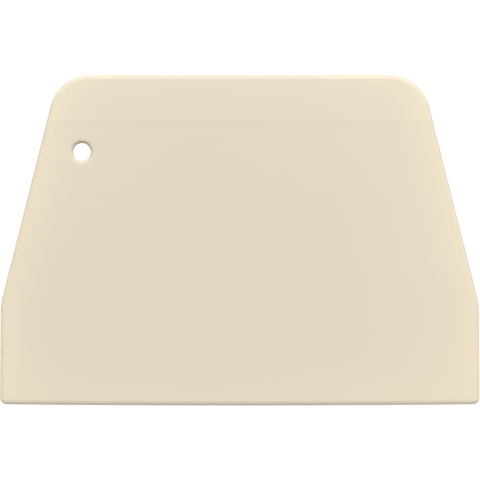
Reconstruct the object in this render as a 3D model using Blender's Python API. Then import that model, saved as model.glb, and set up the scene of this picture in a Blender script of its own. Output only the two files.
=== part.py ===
"""A bench scraper: one moulded plastic plate with a hang hole, lying on its flat back.

It lies as it would on a worktop. +X runs along the blade edge, +Y from the blade edge to the grip,
and +Z up out of the front face. The origin is under the middle of the plate, on its flat back.
"""

import math

import bmesh
import bpy
from mathutils import Vector

MM = 0.001

# Outline, as seen from above.
LENGTH = 145 * MM  # along the blade edge
HEIGHT = 100 * MM  # from the blade edge to the grip edge
GRIP_LENGTH = 109.6 * MM  # where the slanted ends would meet the grip edge
KNEE_Y = -19.1 * MM  # where an end turns from nearly upright to slanted
KNEE_INSET = 0.2 * MM  # how far each end draws in on the way up to there
BLADE_CROWN = 0.36 * MM  # how far the blade edge bows out at its middle
BLADE_CORNER_RADIUS = 2.0 * MM
KNEE_RADIUS = 20 * MM
GRIP_CORNER_RADIUS = 12.3 * MM

# Hang hole, near one corner of the grip.
HOLE_CENTRE = Vector((-47.7, 26.7)) * MM
HOLE_RADIUS = 2.65 * MM
HOLE_ROUND = 1.1 * MM  # width of the rounding around its rim

# Thickness, from the flat back to the front face.
GRIP_THICKNESS = 3.0 * MM  # at the crease where the grip band ends
GRIP_FALL = 0.17 * MM  # how much thinner the band is at the grip edge
BLADE_THICKNESS = 2.91 * MM  # at the foot of the step under the band
EDGE_THICKNESS = 1.4 * MM  # at the blade edge
STEP_TOP_Y = 36.2 * MM
STEP_FOOT_Y = 32.8 * MM
STEP_POWER = 1.5  # above 1, the step is steepest at the crease and runs out softly
EDGE_ROUND = 1.45 * MM  # width of the rounding all round the plate

# Fineness of the facets.
GRIP_CORNER_STEPS = 12
KNEE_STEPS = 4
BLADE_CORNER_STEPS = 6
BLADE_SPANS = 8
HOLE_SIDES = 40
ROUND_RESOLUTION = 4
STEP_SLICES = 4
WELD = 0.001 * MM

IVORY = (0.76, 0.68, 0.54, 1)


def clear_scene():
    for thing in list(bpy.data.objects):
        bpy.data.objects.remove(thing, do_unlink=True)


def rounded_corner(before, corner, after, radius, steps):
    """Points of an arc that rounds a corner, tangent to the lines to the points before and after."""
    inward = (before - corner).normalized()
    outward = (after - corner).normalized()
    half_angle = inward.angle(outward) / 2
    centre = corner + (inward + outward).normalized() * radius / math.sin(half_angle)
    start = corner + inward * radius / math.tan(half_angle) - centre
    turn = -start.angle_signed(corner + outward * radius / math.tan(half_angle) - centre)
    return [centre + turned(start, turn * i / steps) for i in range(steps + 1)]


def turned(vector, angle):
    """A flat vector turned anticlockwise."""
    cos, sin = math.cos(angle), math.sin(angle)
    return Vector((cos * vector.x - sin * vector.y, sin * vector.x + cos * vector.y))


def blade_edge():
    """Points along the crowned blade edge, from the left corner to the right one."""
    half = LENGTH / 2
    lowest = -HEIGHT / 2
    places = [half * (2 * i / BLADE_SPANS - 1) for i in range(BLADE_SPANS + 1)]
    return [Vector((x, lowest + BLADE_CROWN * (x / half) ** 2)) for x in places]


def plate_outline():
    """The plate's outline, anticlockwise from the left end of the blade edge."""
    edge = blade_edge()
    right_knee = Vector((LENGTH / 2 - KNEE_INSET, KNEE_Y))
    right_top = Vector((GRIP_LENGTH / 2, HEIGHT / 2))
    left_top = Vector((-right_top.x, right_top.y))
    left_knee = Vector((-right_knee.x, right_knee.y))
    return (
        rounded_corner(left_knee, edge[0], edge[1], BLADE_CORNER_RADIUS, BLADE_CORNER_STEPS)
        + edge[1:-1]
        + rounded_corner(edge[-2], edge[-1], right_knee, BLADE_CORNER_RADIUS, BLADE_CORNER_STEPS)
        + rounded_corner(edge[-1], right_knee, right_top, KNEE_RADIUS, KNEE_STEPS)
        + rounded_corner(right_knee, right_top, left_top, GRIP_CORNER_RADIUS, GRIP_CORNER_STEPS)
        + rounded_corner(right_top, left_top, left_knee, GRIP_CORNER_RADIUS, GRIP_CORNER_STEPS)
        + rounded_corner(left_top, left_knee, edge[0], KNEE_RADIUS, KNEE_STEPS)
    )


def hole_outline():
    start = Vector((HOLE_RADIUS, 0))
    angles = [math.tau * i / HOLE_SIDES for i in range(HOLE_SIDES)]
    return [HOLE_CENTRE + turned(start, angle) for angle in angles]


def add_outline(curve, points):
    spline = curve.splines.new("POLY")
    spline.points.add(len(points) - 1)
    for slot, point in zip(spline.points, points):
        slot.co = (point.x, point.y, 0, 1)
    spline.use_cyclic_u = True


def rounded_plate(name):
    """The plate at one thickness throughout, its edges rounded, centred on Z = 0."""
    curve = bpy.data.curves.new(name, "CURVE")
    curve.dimensions = "2D"
    curve.fill_mode = "BOTH"
    curve.extrude = GRIP_THICKNESS / 2 - EDGE_ROUND
    curve.bevel_depth = EDGE_ROUND
    curve.bevel_resolution = ROUND_RESOLUTION
    curve.offset = -EDGE_ROUND
    add_outline(curve, plate_outline())
    add_outline(curve, hole_outline())
    drawn = bpy.data.objects.new(name + "_outline", curve)
    bpy.context.scene.collection.objects.link(drawn)
    graph = bpy.context.evaluated_depsgraph_get()
    mesh = bpy.data.meshes.new_from_object(drawn.evaluated_get(graph))
    mesh.name = name
    bpy.data.objects.remove(drawn)
    bpy.data.curves.remove(curve)
    return mesh


def thickness_at(y):
    """A straight taper up from the blade edge, a step, then a grip band that falls off a little."""
    if y < STEP_FOOT_Y:
        along = (y + HEIGHT / 2) / (STEP_FOOT_Y + HEIGHT / 2)
        return EDGE_THICKNESS + (BLADE_THICKNESS - EDGE_THICKNESS) * along
    if y < STEP_TOP_Y:
        rise = (y - STEP_FOOT_Y) / (STEP_TOP_Y - STEP_FOOT_Y)
        return BLADE_THICKNESS + (GRIP_THICKNESS - BLADE_THICKNESS) * rise**STEP_POWER
    return GRIP_THICKNESS - GRIP_FALL * (y - STEP_TOP_Y) / (HEIGHT / 2 - STEP_TOP_Y)


def slice_across(form, y):
    """Cuts a line of vertices across the whole form at one Y, so that it can bend there."""
    everything = form.verts[:] + form.edges[:] + form.faces[:]
    bmesh.ops.bisect_plane(form, geom=everything, plane_co=(0, y, 0), plane_no=(0, 1, 0))


def ease_hole_rim(vert):
    """Narrows the rounding around the hole from the plate's width to its own."""
    away = vert.co.xy - HOLE_CENTRE
    beyond = away.length - HOLE_RADIUS
    if beyond < EDGE_ROUND + WELD:
        away *= (HOLE_RADIUS + beyond * HOLE_ROUND / EDGE_ROUND) / away.length
        vert.co.xy = HOLE_CENTRE + away


def shape_plate(mesh):
    """Welds the caps, then gives the plate its flat back, its step and its taper."""
    form = bmesh.new()
    form.from_mesh(mesh)
    bmesh.ops.remove_doubles(form, verts=form.verts, dist=WELD)
    for i in range(STEP_SLICES + 1):
        slice_across(form, STEP_FOOT_Y + (STEP_TOP_Y - STEP_FOOT_Y) * i / STEP_SLICES)
    for vert in form.verts:
        ease_hole_rim(vert)
        share = vert.co.z / GRIP_THICKNESS + 0.5
        vert.co.z = share * thickness_at(vert.co.y)
    bmesh.ops.recalc_face_normals(form, faces=form.faces)
    form.to_mesh(mesh)
    form.free()


def ivory_plastic():
    material = bpy.data.materials.new("ivory_plastic")
    material.use_nodes = True
    surface = material.node_tree.nodes["Principled BSDF"]
    surface.inputs["Base Color"].default_value = IVORY
    surface.inputs["Roughness"].default_value = 0.4
    surface.inputs["Metallic"].default_value = 0
    return material


def add_part(collection, name, mesh, material):
    mesh.materials.append(material)
    mesh.shade_smooth()
    mesh.set_sharp_from_angle(angle=math.radians(30))
    part = bpy.data.objects.new(name, mesh)
    collection.objects.link(part)
    return part


def main():
    clear_scene()
    collection = bpy.data.collections.new("bench_scraper")
    bpy.context.scene.collection.children.link(collection)
    mesh = rounded_plate("scraper_plate")
    shape_plate(mesh)
    part = add_part(collection, "scraper_plate", mesh, ivory_plastic())
    print(part.name, len(mesh.vertices), "vertices", [round(side / MM, 2) for side in part.dimensions])


main()
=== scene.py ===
# %% [markdown]
# # A moulded bench scraper
#
# A bench scraper is the plainest tool in a bakery: one plate of ivory plastic that cuts dough and
# clears the bench. This lesson makes its visible surface for a design that already exists. The
# design holds the real sizes, so it is loaded first, and the overall sizes are taken from it.

# %% Load the design
import math

import bmesh
import bpy
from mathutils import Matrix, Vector
from mathutils.kdtree import KDTree


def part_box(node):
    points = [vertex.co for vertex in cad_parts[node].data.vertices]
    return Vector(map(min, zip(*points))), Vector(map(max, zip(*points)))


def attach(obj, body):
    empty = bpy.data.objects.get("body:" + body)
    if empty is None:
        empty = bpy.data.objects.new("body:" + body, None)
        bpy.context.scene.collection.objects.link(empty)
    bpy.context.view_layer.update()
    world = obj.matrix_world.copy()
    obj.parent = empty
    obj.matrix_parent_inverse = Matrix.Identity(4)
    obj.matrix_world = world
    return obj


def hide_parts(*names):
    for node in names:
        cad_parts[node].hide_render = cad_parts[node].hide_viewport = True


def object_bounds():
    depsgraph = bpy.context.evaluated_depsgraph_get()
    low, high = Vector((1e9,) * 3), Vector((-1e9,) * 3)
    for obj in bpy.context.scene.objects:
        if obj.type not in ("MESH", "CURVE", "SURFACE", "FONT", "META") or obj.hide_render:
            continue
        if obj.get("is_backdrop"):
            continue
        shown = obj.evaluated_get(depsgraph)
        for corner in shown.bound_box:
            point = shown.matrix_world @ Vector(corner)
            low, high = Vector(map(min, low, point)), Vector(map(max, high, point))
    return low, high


MM = 0.001
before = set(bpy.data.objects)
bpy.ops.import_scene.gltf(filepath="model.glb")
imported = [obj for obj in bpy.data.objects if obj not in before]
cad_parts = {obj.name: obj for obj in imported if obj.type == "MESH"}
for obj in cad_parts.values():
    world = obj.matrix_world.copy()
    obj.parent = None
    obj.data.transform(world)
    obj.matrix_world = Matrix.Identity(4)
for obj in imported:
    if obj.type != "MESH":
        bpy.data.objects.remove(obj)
design_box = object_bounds()
low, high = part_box("scraper_plate")
length, height, thickness = high - low
print("the design measures", [round(side / MM, 2) for side in (length, height, thickness)], "mm")

# %% [markdown]
# ## The camera
#
# The scraper lies on its back and the camera hangs straight above it. A short lens close by would
# spread the near parts and show deep into one side of the hang hole. A long lens from further away
# keeps the plate's true outline, so a 200 mm lens is used, at the distance where the plate just
# fills the picture's width.

# %% Hang the camera
LENS = 200
SENSOR = 36
VIEW_WIDTH = length * 1.0007

OFF_CENTRE = 0.05 * MM  # the plate lies a hair off the picture's middle

camera_data = bpy.data.cameras.new("camera")
camera_data.lens = LENS
camera_data.sensor_width = SENSOR
camera_data.clip_end = 10
camera = bpy.data.objects.new("camera", camera_data)
camera.location = (OFF_CENTRE, OFF_CENTRE, thickness / 2 + VIEW_WIDTH * LENS / SENSOR)
bpy.context.scene.collection.objects.link(camera)
bpy.context.scene.camera = camera
print("the camera hangs", round(camera.location.z, 3), "m up")

# %% [markdown]
# ## The outline
#
# The scraper's outline is nearly straight lines joined by round corners. It could be a polygon of
# a hundred points, but a Bezier curve needs just two points for each corner. The handles towards
# the corner draw its arc, and the other handles lie on the straight lines. A handle that is
# 4/3 tan(turn / 4) radii long gives an arc that no eye tells from a circle.

# %% The corners, anticlockwise from the right end of the blade
BLADE_CROWN = 0.36 * MM  # the blade edge bows out, so that its middle meets the bench first
BLADE_Y = low.y + BLADE_CROWN
KNEE_Y = -19.1 * MM  # where an end turns from nearly upright to slanted
KNEE_HALF = high.x - 0.2 * MM
GRIP_HALF = 54.8 * MM

CORNERS = (
    (Vector((high.x, BLADE_Y)), 2.0 * MM),
    (Vector((KNEE_HALF, KNEE_Y)), 20 * MM),
    (Vector((GRIP_HALF, high.y)), 12.3 * MM),
    (Vector((-GRIP_HALF, high.y)), 12.3 * MM),
    (Vector((-KNEE_HALF, KNEE_Y)), 20 * MM),
    (Vector((low.x, BLADE_Y)), 2.0 * MM),
)
print(len(CORNERS), "corners; the widest is rounded at", max(radius for _, radius in CORNERS) / MM, "mm")


# %% Round one corner with two Bezier points, each a place and the handles before and after it
def corner_points(before, corner, after, radius):
    to_before = (before - corner).normalized()
    to_after = (after - corner).normalized()
    turn = math.pi - to_before.angle(to_after)
    reach = radius * math.tan(turn / 2)
    handle = radius * math.tan(turn / 4) * 4 / 3
    start = corner + to_before * reach
    end = corner + to_after * reach
    return [
        (start, start + to_before * handle, start - to_before * handle),
        (end, end - to_after * handle, end + to_after * handle),
    ]


plate_points = []
for i, (corner, radius) in enumerate(CORNERS):
    before = CORNERS[i - 1][0]
    after = CORNERS[(i + 1) % len(CORNERS)][0]
    plate_points += corner_points(before, corner, after, radius)
print("the outline has", len(plate_points), "Bezier points")

# %% [markdown]
# ## The bow of the blade edge
#
# The last stretch of the curve closes it, along the blade edge. Its two handles are a third of its
# length long. Pushed down by 4/3 of the crown, they bow the edge out by just the crown.

# %% Bow the blade edge
left_end = plate_points[-1]
right_end = plate_points[0]
third = Vector(((right_end[0].x - left_end[0].x) / 3, 0))
dip = Vector((0, BLADE_CROWN * 4 / 3))
plate_points[-1] = (left_end[0], left_end[1], left_end[0] + third - dip)
plate_points[0] = (right_end[0], right_end[0] - third - dip, right_end[2])
print("the blade edge bows out by", round(BLADE_CROWN / MM, 2), "mm")

# %% [markdown]
# ## The hang hole
#
# The hole near one corner of the grip lets the scraper hang on a hook. It is a plain circle, so
# four Bezier points draw it.

# %% Draw the hang hole
HOLE_CENTRE = Vector((-47.7, 26.7)) * MM
HOLE_RADIUS = 2.65 * MM


def circle_points(centre, radius):
    handle = radius * math.tan(math.pi / 8) * 4 / 3
    points = []
    for i in range(4):
        out = Vector((math.cos(i * math.pi / 2), math.sin(i * math.pi / 2)))
        along = Vector((-out.y, out.x)) * handle
        place = centre + out * radius
        points.append((place, place - along, place + along))
    return points


hole_points = circle_points(HOLE_CENTRE, HOLE_RADIUS)
print("the hang hole is", round(2 * HOLE_RADIUS / MM, 2), "mm across")

# %% [markdown]
# ## From outline to plate
#
# Every edge of the moulding is rounded nearly to a half circle, round the hole too. Bevelling a
# mesh afterwards would struggle at the thin blade. A flat curve does it at once: its extrusion
# gives the thickness, its own bevel rounds every edge, and its offset draws the bevel back inside
# the outline.

# %% Extrude and bevel the outline
EDGE_ROUND = 1.45 * MM
ARC_STEPS = 15
ROUND_STEPS = 7


def add_loop(curve, points):
    loop = curve.splines.new("BEZIER")
    loop.bezier_points.add(len(points) - 1)
    loop.use_cyclic_u = True
    loop.resolution_u = ARC_STEPS
    for knot, (place, before, after) in zip(loop.bezier_points, points):
        knot.handle_left_type = knot.handle_right_type = "FREE"
        knot.co = place.to_3d()
        knot.handle_left = before.to_3d()
        knot.handle_right = after.to_3d()


outline = bpy.data.curves.new("plate_outline", "CURVE")
outline.dimensions = "2D"
outline.fill_mode = "BOTH"
outline.extrude = thickness / 2 - EDGE_ROUND
outline.bevel_depth = EDGE_ROUND
outline.bevel_resolution = ROUND_STEPS
outline.offset = -EDGE_ROUND
add_loop(outline, plate_points)
add_loop(outline, hole_points)
print("the curve is extruded", round(2 * outline.extrude / MM, 2), "mm between its roundings")


# %% Turn the curve into a mesh
def mesh_from_curve(curve, name):
    drawn = bpy.data.objects.new(name, curve)
    bpy.context.scene.collection.objects.link(drawn)
    graph = bpy.context.evaluated_depsgraph_get()
    mesh = bpy.data.meshes.new_from_object(drawn.evaluated_get(graph))
    mesh.name = name
    bpy.data.objects.remove(drawn)
    bpy.data.curves.remove(curve)
    return mesh


plate_mesh = mesh_from_curve(outline, "ivory_plate")
print("the plain plate has", len(plate_mesh.vertices), "vertices")

# %% [markdown]
# ## Even cells on the flat faces
#
# The curve's flat caps are filled with long thin triangles, and those shade badly. So each cap is
# cut across through the hang hole, and the triangles above and below the cut merge into one face. A
# narrow border just inside the rounding then keeps the rounding's shading off the flat.

# %% Merge the caps and give them a border
WELD = 0.001 * MM
BORDER = 0.5 * MM


def slice_at(form, x=None, y=None):
    everything = form.verts[:] + form.edges[:] + form.faces[:]
    across = (0, 1, 0) if x is None else (1, 0, 0)
    bmesh.ops.bisect_plane(form, geom=everything, plane_co=(x or 0, y or 0, 0), plane_no=across, dist=WELD)


def cap_faces(form, side):
    return [face for face in form.faces if side * face.calc_center_median().z > thickness / 2 - WELD]


def merge_cap(form, side):
    above = [face for face in cap_faces(form, side) if face.calc_center_median().y > HOLE_CENTRE.y]
    below = [face for face in cap_faces(form, side) if face.calc_center_median().y < HOLE_CENTRE.y]
    bmesh.ops.dissolve_faces(form, faces=above)
    bmesh.ops.dissolve_faces(form, faces=below)
    bmesh.ops.inset_region(form, faces=cap_faces(form, side), thickness=BORDER, use_even_offset=True)


plate = bmesh.new()
plate.from_mesh(plate_mesh)
bmesh.ops.remove_doubles(plate, verts=plate.verts, dist=WELD)
slice_at(plate, y=HOLE_CENTRE.y)
plate.normal_update()
merge_cap(plate, 1)
merge_cap(plate, -1)
print("with merged caps the plate has", len(plate.faces), "faces")

# %% [markdown]
# ## The thickness of the moulding
#
# The plate isn't the same thickness all over. The grip band is the thickest, and falls off a
# little to the grip edge. A crease ends it, a soft step of under a tenth of a millimetre follows,
# and from the step's foot the blade tapers to its edge, where a last narrow bevel thins it more.
# One formula says all this, and the back stays flat.

# %% The thickness at any place
GRIP_FALL = 0.17 * MM
STEP_TOP_Y = 36.2 * MM
STEP_FOOT_Y = 32.8 * MM
STEP_POWER = 1.5  # above 1, the step is steepest at the crease and runs out softly
BLADE_THICKNESS = 2.91 * MM  # at the foot of the step
EDGE_THICKNESS = 1.4 * MM  # at the blade edge
BEVEL_WIDTH = 1.2 * MM
BEVEL_DROP = 0.12 * MM


def thickness_at(x, y):
    if y > STEP_TOP_Y:
        return thickness - GRIP_FALL * (y - STEP_TOP_Y) / (high.y - STEP_TOP_Y)
    if y > STEP_FOOT_Y:
        rise = (y - STEP_FOOT_Y) / (STEP_TOP_Y - STEP_FOOT_Y)
        return BLADE_THICKNESS + (thickness - BLADE_THICKNESS) * rise**STEP_POWER
    along = (y - low.y) / (STEP_FOOT_Y - low.y)
    edge_y = low.y + BLADE_CROWN * (x / high.x) ** 2
    bevel = max(1 - (y - edge_y) / BEVEL_WIDTH, 0)
    return EDGE_THICKNESS + (BLADE_THICKNESS - EDGE_THICKNESS) * along - BEVEL_DROP * bevel


for y in (high.y, STEP_TOP_Y, STEP_FOOT_Y, 0, low.y):
    print("at y", round(y / MM, 1), "the plate is", round(thickness_at(0, y) / MM, 2), "mm thick")

# %% [markdown]
# ## Rows of vertices where the surface bends
#
# A surface bends only along its vertices. A grid gives the flat faces even cells, which also carry
# the painted light and shade stored later. Closer rows follow the step, a pair of rows keeps the
# crease crisp, and one row marks the top of the blade's bevel.

# %% Cut the rows
GRID = 2.5 * MM
STEP_ROWS = 8
CREASE = 0.1 * MM

for i in range(1, round(length / GRID)):
    slice_at(plate, x=low.x + i * GRID)
for i in range(1, round(height / GRID)):
    slice_at(plate, y=low.y + i * GRID)
for i in range(STEP_ROWS + 1):
    slice_at(plate, y=STEP_FOOT_Y + (STEP_TOP_Y - STEP_FOOT_Y) * i / STEP_ROWS)
for y in (STEP_TOP_Y - CREASE, STEP_TOP_Y + CREASE, low.y + BEVEL_WIDTH):
    slice_at(plate, y=y)
print("with its rows the plate has", len(plate.faces), "faces")

# %% [markdown]
# ## Measure how far the rim is
#
# The painted light and shade change towards the rim, so each place must know how far away the rim is.
# The widest ring of vertices, half way up the rounding, is the outline itself. A k-d tree of that
# ring finds the nearest of its points at once.

# %% Put the outline in a tree
ring = [
    vert.co.xy.to_3d()
    for vert in plate.verts
    if abs(vert.co.z) < thickness / 2 - EDGE_ROUND + WELD
    and (vert.co.xy - HOLE_CENTRE).length > 2 * HOLE_RADIUS
]
rim = KDTree(len(ring))
for i, place in enumerate(ring):
    rim.insert(place, i)
rim.balance()
print("the outline has", len(ring), "points; the middle is", round(rim.find((0, 0, 0))[2] / MM, 1), "mm in")

# %% [markdown]
# ## Painted light and shade on the ivory
#
# Ivory plastic lets a little light in, and that light is painted into its colour here. Near the rim
# light enters from the side too, so the plastic is painted paler and warmer there, a painted glow:
# most in the last few millimetres, and faintly over a wider band along the two ends and the blade.
# In the outermost millimetre a thin deeper line of painted shade follows the outline. The right end
# is painted very slightly paler than the left, a painted light from the right.
#
# Light scattered inside the shader would do some of this, but it also blurs the faint crease under
# the grip band. So the painted light and shade are worked out from distances and stored on the
# vertices.

# %% Store the painted light and shade at each vertex
# The span below is of painted light and shade, not of the plastic's own colour.
PAINTED_LIGHT_SPAN = 0.2  # the palest and the deepest tone differ from plain ivory by this share
FULL_THICK = 20 * MM  # how far up from the blade edge the plate counts as thick
# Painted light from the right: the right end is painted paler than the middle, the left end deeper.
PAINTED_SIDE_LIGHT = 0.013  # how much paler the right end is than the middle

# Each painted glow and painted shade is a share at the rim itself, and how far in it fades.
# Painted glow: the plastic is painted paler and warmer near the ends, the blade and the rim.
PAINTED_GLOW_ENDS = (0.095, 14 * MM)
PAINTED_GLOW_BLADE = (0.07, 16 * MM)
PAINTED_RIM_GLOW = (0.11, 2.7 * MM)
# Painted shade: a thin deeper line just inside the outline and along the ends.
PAINTED_THICK_RIM_SHADE = (0.08, 0.8 * MM)
PAINTED_RIM_SHADE = (0.08, 0.8 * MM)
PAINTED_END_SHADE = (0.05, 1 * MM)


def fade(distance, share, reach):
    return share * math.exp(-max(distance, 0) / reach)


def end_distance(place):
    slant = (KNEE_HALF - GRIP_HALF) / (high.y - KNEE_Y)
    return high.x - slant * max(place.y - KNEE_Y, 0) - abs(place.x)


def painted_light_and_shade_at(place):
    to_rim = rim.find(place.xy.to_3d())[2]
    from_blade = place.y - low.y
    from_end = end_distance(place)
    # Painted glow along the two ends and the blade.
    painted_glow = fade(from_end, *PAINTED_GLOW_ENDS) + fade(from_blade, *PAINTED_GLOW_BLADE)
    # Painted shade in the outermost millimetre of the rim and the ends.
    painted_shade = fade(to_rim, *PAINTED_RIM_SHADE) + fade(from_end, *PAINTED_END_SHADE)
    # Painted glow round the rim where the plate is thick, less a painted shade in its outermost millimetre.
    painted_rim_glow_and_shade = fade(to_rim, *PAINTED_RIM_GLOW) - fade(to_rim, *PAINTED_THICK_RIM_SHADE)
    # The last term is painted light from the right.
    return painted_glow - painted_shade + painted_rim_glow_and_shade * min(from_blade / FULL_THICK, 1) + PAINTED_SIDE_LIGHT * place.x / high.x


# Each vertex stores its painted light and shade: painted glow, painted rim shade and painted light from the
# right.
painted_light_and_shade = plate.verts.layers.float.new("painted_light_and_shade")
for vert in plate.verts:
    vert[painted_light_and_shade] = 0.5 + painted_light_and_shade_at(vert.co) / PAINTED_LIGHT_SPAN / 2
painted_levels = [vert[painted_light_and_shade] for vert in plate.verts]
print("paleness runs from", round(min(painted_levels), 2), "to", round(max(painted_levels), 2))

# %% [markdown]
# ## Lift the front face
#
# The rounding of the hole's rim is a little tighter than the rounding of the edges, so its
# vertices are drawn in first. Then each vertex keeps its share of the height, and the share is
# taken of the thickness at its place. The back lands on the bench and the front takes its shape.

# %% Draw in the hole's rim and set the heights
HOLE_ROUND = 1.1 * MM


def ease_hole_rim(vert):
    away = vert.co.xy - HOLE_CENTRE
    beyond = away.length - HOLE_RADIUS
    if beyond < EDGE_ROUND + WELD:
        away *= (HOLE_RADIUS + beyond * HOLE_ROUND / EDGE_ROUND) / away.length
        vert.co.xy = HOLE_CENTRE + away


for vert in plate.verts:
    ease_hole_rim(vert)
    share = vert.co.z / thickness + 0.5
    vert.co.z = low.z + share * thickness_at(vert.co.x, vert.co.y)
bmesh.ops.recalc_face_normals(plate, faces=plate.faces)
print("the plate holds", round(plate.calc_volume() / MM**3 / 1000, 1), "cubic centimetres of plastic")

# %% [markdown]
# ## Make it a piece
#
# The finished form goes back into its mesh. Weighted normals let the large cells decide how their
# borders are shaded, so the flat stays flat right up to the rounding. The piece stands for the
# design's plate, which is hidden, and rides on the design's only body.

# %% The ivory scraper
plate.to_mesh(plate_mesh)
plate.free()
plate_mesh.shade_smooth()
scraper = bpy.data.objects.new("ivory_scraper", plate_mesh)
bpy.context.scene.collection.objects.link(scraper)
even = scraper.modifiers.new("flat stays flat", "WEIGHTED_NORMAL")
even.mode = "FACE_AREA"
even.weight = 100
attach(scraper, "root")
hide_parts("scraper_plate")
print("the piece has", len(plate_mesh.polygons), "faces")

# %% [markdown]
# ## Ivory plastic: a bench for its nodes
#
# The plastic's colour, gloss and grain all come from one shader with a few textures. Two small
# helpers keep the cells short: one adds a noise texture that reads the object's own coordinates in
# metres, and one adds a mix of two colours.

# %% Start the material
ivory = bpy.data.materials.new("ivory_plastic")
ivory.use_nodes = True
nodes = ivory.node_tree.nodes
links = ivory.node_tree.links
surface = nodes["Principled BSDF"]
place_on_plate = nodes.new("ShaderNodeTexCoord").outputs["Object"]


def add_noise(size, detail):
    noise = nodes.new("ShaderNodeTexNoise")
    noise.inputs["Scale"].default_value = 1 / size
    noise.inputs["Detail"].default_value = detail
    links.new(place_on_plate, noise.inputs["Vector"])
    return noise.outputs["Fac"]


def add_mix(blend, first, second):
    mix = nodes.new("ShaderNodeMix")
    mix.data_type = "RGBA"
    mix.blend_type = blend
    mix.inputs["Factor"].default_value = 1
    mix.inputs["A"].default_value = (*first, 1)
    mix.inputs["B"].default_value = (*second, 1)
    return mix


print("the shader starts with", len(nodes), "nodes")

# %% [markdown]
# ## Colour
#
# The stored painted light and shade mix a shaded ivory and a lit one. The lit ivory gains less in
# blue, because its painted glow stands for light that comes warm through the plastic. Over that lies
# a cloudiness of about one percent: pigment is never stirred perfectly even, and a perfectly even
# colour looks drawn. The clouds are a few centimetres wide, and fine flecks break them up.

# %% Mix the ivory
IVORY = (0.76, 0.676, 0.543)
# Red, green and blue follow the painted light and shade by these shares; the painted glow is warm.
PAINTED_LIGHT_WARMTH = (1, 0.92, 0.45)  # how far red, green and blue follow the tone


# The ivory made paler by painted light for a positive share, and deeper by painted shade for a negative
# one.
def painted_ivory(share):
    return [level * (1 + share * follow) for level, follow in zip(IVORY, PAINTED_LIGHT_WARMTH)]


# The stored painted light and shade pick between the painted-shade ivory and the painted-light ivory.
painted_light_input = nodes.new("ShaderNodeAttribute")
painted_light_input.attribute_name = "painted_light_and_shade"
painted_ivory_mix = add_mix("MIX", painted_ivory(-PAINTED_LIGHT_SPAN), painted_ivory(PAINTED_LIGHT_SPAN))
links.new(painted_light_input.outputs["Fac"], painted_ivory_mix.inputs["Factor"])


def speckled(colour, darker, lighter, size, detail):
    specks = add_mix("MIX", darker, lighter)
    links.new(add_noise(size, detail), specks.inputs["Factor"])
    product = add_mix("MULTIPLY", IVORY, IVORY)
    links.new(colour, product.inputs["A"])
    links.new(specks.outputs["Result"], product.inputs["B"])
    return product.outputs["Result"]


clouded = speckled(painted_ivory_mix.outputs["Result"], (0.985, 0.985, 0.98), (1.015, 1.015, 1.02), 35 * MM, 2)
flecked = speckled(clouded, (0.985, 0.985, 0.985), (1.015, 1.015, 1.015), 0.6 * MM, 1)
links.new(flecked, surface.inputs["Base Color"])
# The deep ivory carries the most painted shade, the pale ivory the most painted light.
print("deep ivory", [round(level, 3) for level in painted_ivory(-PAINTED_LIGHT_SPAN)])
print("pale ivory", [round(level, 3) for level in painted_ivory(PAINTED_LIGHT_SPAN)])

# %% [markdown]
# ## Satin gloss and mould grain
#
# The mould was blasted with fine grit, so the plastic comes out satin. Its grain is a fraction of
# a millimetre wide and only microns deep, too fine for geometry, so it is bump. The gloss varies
# softly where hands and the mould's own polish have touched it.

# %% Give it its gloss and grain
gloss = nodes.new("ShaderNodeMapRange")
gloss.inputs["From Min"].default_value = 0.3  # a noise texture seldom leaves 0.3 to 0.7
gloss.inputs["From Max"].default_value = 0.7
gloss.inputs["To Min"].default_value = 0.5
gloss.inputs["To Max"].default_value = 0.6
links.new(add_noise(14 * MM, 3), gloss.inputs["Value"])
links.new(gloss.outputs["Result"], surface.inputs["Roughness"])

grain = nodes.new("ShaderNodeBump")
grain.inputs["Strength"].default_value = 0.6
grain.inputs["Distance"].default_value = 0.01 * MM
links.new(add_noise(0.4 * MM, 3), grain.inputs["Height"])
links.new(grain.outputs["Normal"], surface.inputs["Normal"])

surface.inputs["IOR"].default_value = 1.45
surface.inputs["Specular IOR Level"].default_value = 0.3
scraper.data.materials.append(ivory)
print("the finished shader has", len(nodes), "nodes")

# %% [markdown]
# ## The floor
#
# The scraper lies on a plain white sweep. A floor lit only by the lamp would carry a hard little
# shadow all round such a thin plate. A studio lights the sweep itself from behind, so this floor
# mostly glows on its own. A low white wall stands round it, so that nobody who looks along the bench
# sees where the floor ends. A tall wall would hide more, but would light the rims from the side.

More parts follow.
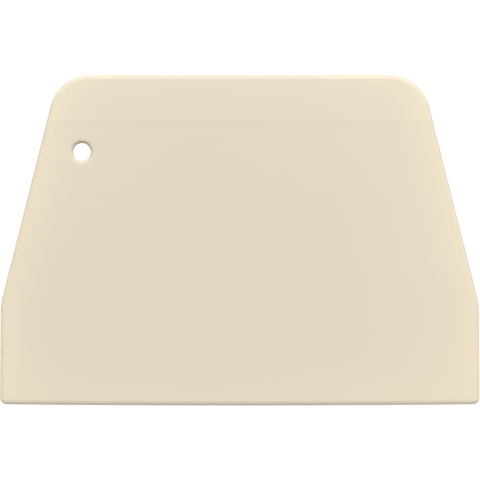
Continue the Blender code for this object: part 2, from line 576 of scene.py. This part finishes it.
# %% Lay the floor
sweep = bpy.data.materials.new("white_sweep")
sweep.use_nodes = True
sweep_surface = sweep.node_tree.nodes["Principled BSDF"]
sweep_surface.inputs["Base Color"].default_value = (0.06, 0.06, 0.06, 1)
sweep_surface.inputs["Roughness"].default_value = 0.8
sweep_surface.inputs["Emission Color"].default_value = (1, 1, 1, 1)
sweep_surface.inputs["Emission Strength"].default_value = 0.98

bpy.ops.mesh.primitive_plane_add(size=6, location=(0, 0, low.z - 0.2 * MM))
floor = bpy.context.object
floor.name = "floor"
floor.data.materials.append(sweep)
floor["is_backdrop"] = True

WALL = 0.25  # the wall's height
bpy.ops.mesh.primitive_cylinder_add(vertices=96, radius=2.9, depth=WALL, end_fill_type="NOTHING")
wall = bpy.context.object
wall.name = "wall"
wall.location.z = WALL / 2
wall.data.materials.append(sweep)
wall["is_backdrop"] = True
print("the floor is", floor.dimensions.x, "m wide and its wall", WALL, "m high")

# %% [markdown]
# ## The light
#
# A large softbox stands behind the grip, high up and a step to the right. The grip's rounding
# faces it and shines, the blade's rounding turns away and darkens, and the faint crease under the
# grip band shows. The softbox hangs far enough away to light the whole plate nearly evenly, and a
# weak white sky fills the rest.

# %% Hang the softbox
lamp_data = bpy.data.lights.new("softbox", "AREA")
lamp_data.shape = "RECTANGLE"
lamp_data.size = 1.8
lamp_data.size_y = 1.4
lamp_data.energy = 79.4
softbox = bpy.data.objects.new("softbox", lamp_data)
softbox.location = (0.16, 1.35, 2.25)
softbox.rotation_euler = (-softbox.location).to_track_quat("-Z", "Y").to_euler()
bpy.context.scene.collection.objects.link(softbox)
print("the softbox hangs", round(softbox.location.length, 2), "m away")

# %% A weak sky, and plain tones
SKY_STRENGTH = 0.1
sky = bpy.data.worlds.new("weak_sky")
sky.use_nodes = True
sky.node_tree.nodes["Background"].inputs["Color"].default_value = (1, 1, 1, 1)
sky.node_tree.nodes["Background"].inputs["Strength"].default_value = SKY_STRENGTH
bpy.context.scene.world = sky
bpy.context.scene.view_settings.view_transform = "Standard"
print("the sky has strength", SKY_STRENGTH)

# %% [markdown]
# ## The sizes
#
# The surface's box is printed beside the design's. The surface may not be bigger than
# the design.

# %% Print the sizes of the design and the surface
surface_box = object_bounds()
for name, box in (("design", design_box), ("surface", surface_box)):
    print(name, [[round(side / MM, 2) for side in corner] for corner in box])
